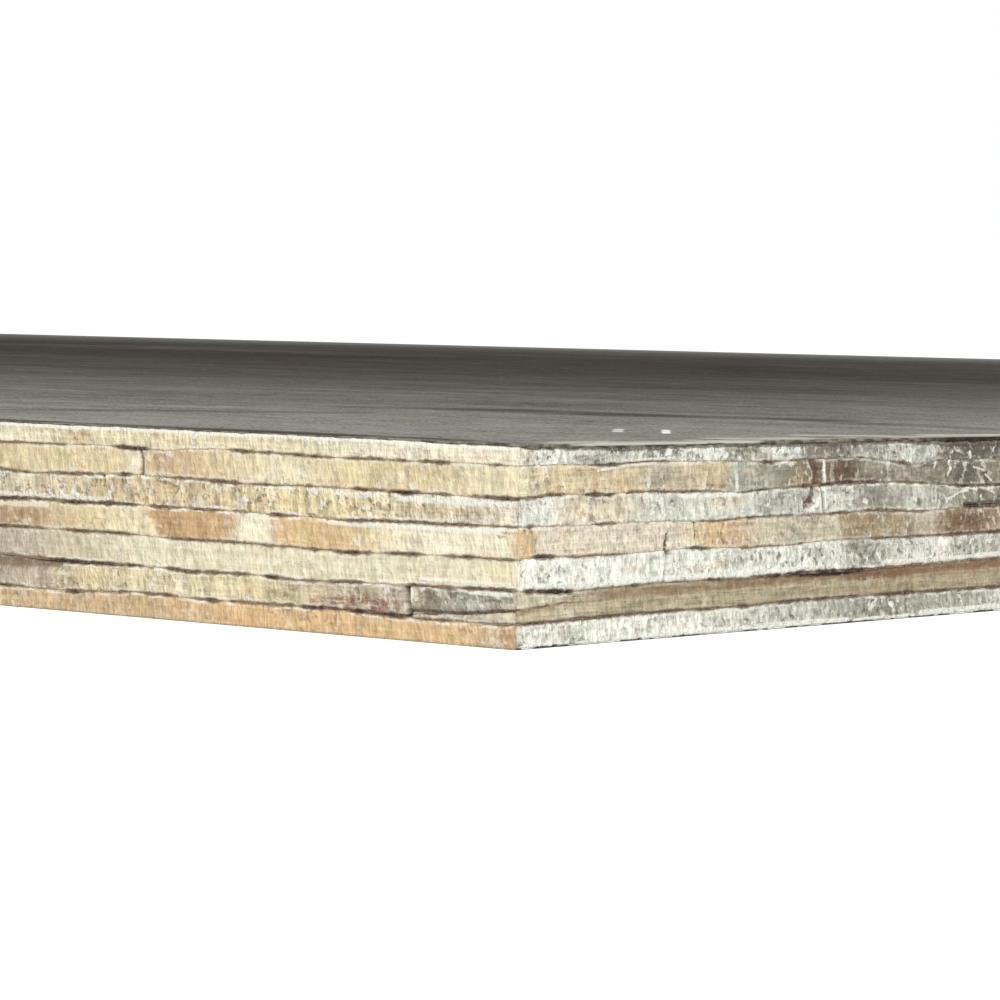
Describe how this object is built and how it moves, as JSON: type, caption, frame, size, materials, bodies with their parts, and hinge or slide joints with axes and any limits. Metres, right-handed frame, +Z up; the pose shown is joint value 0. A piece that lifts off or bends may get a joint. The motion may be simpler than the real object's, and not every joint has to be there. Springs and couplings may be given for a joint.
{
  "type": "formwork panel",
  "caption": "Flat rectangular film-faced plywood sheet of crosswise veneer plies, the face that concrete is cast against in formwork.",
  "frame": {"origin": "middle of the underside, on the surface that the panel lies on", "axes": "+X along the panel, the way the face grain runs; +Y across it; +Z up, out of the upper film face"},
  "size_m": [2.5, 1.25, 0.018],
  "materials": {
    "phenolic_film": "dark brown phenolic film, worn and dusty",
    "face_veneer": "sawn veneer, pale",
    "cross_veneer": "sawn veneer, tan",
    "long_veneer": "sawn veneer, pale",
    "resin": "cured dark resin"
  },
  "bodies": {
    "root": {"top_film": "phenolic_film", "bottom_film": "phenolic_film", "face_ply_1": "face_veneer", "face_ply_7": "face_veneer", "cross_ply_2": "cross_veneer", "cross_ply_4": "cross_veneer", "cross_ply_6": "cross_veneer", "long_ply_3": "long_veneer", "long_ply_5": "long_veneer", "glue_line_1": "resin", "glue_line_2": "resin", "glue_line_3": "resin", "glue_line_4": "resin", "glue_line_5": "resin", "glue_line_6": "resin"}
  },
  "joints": []
}
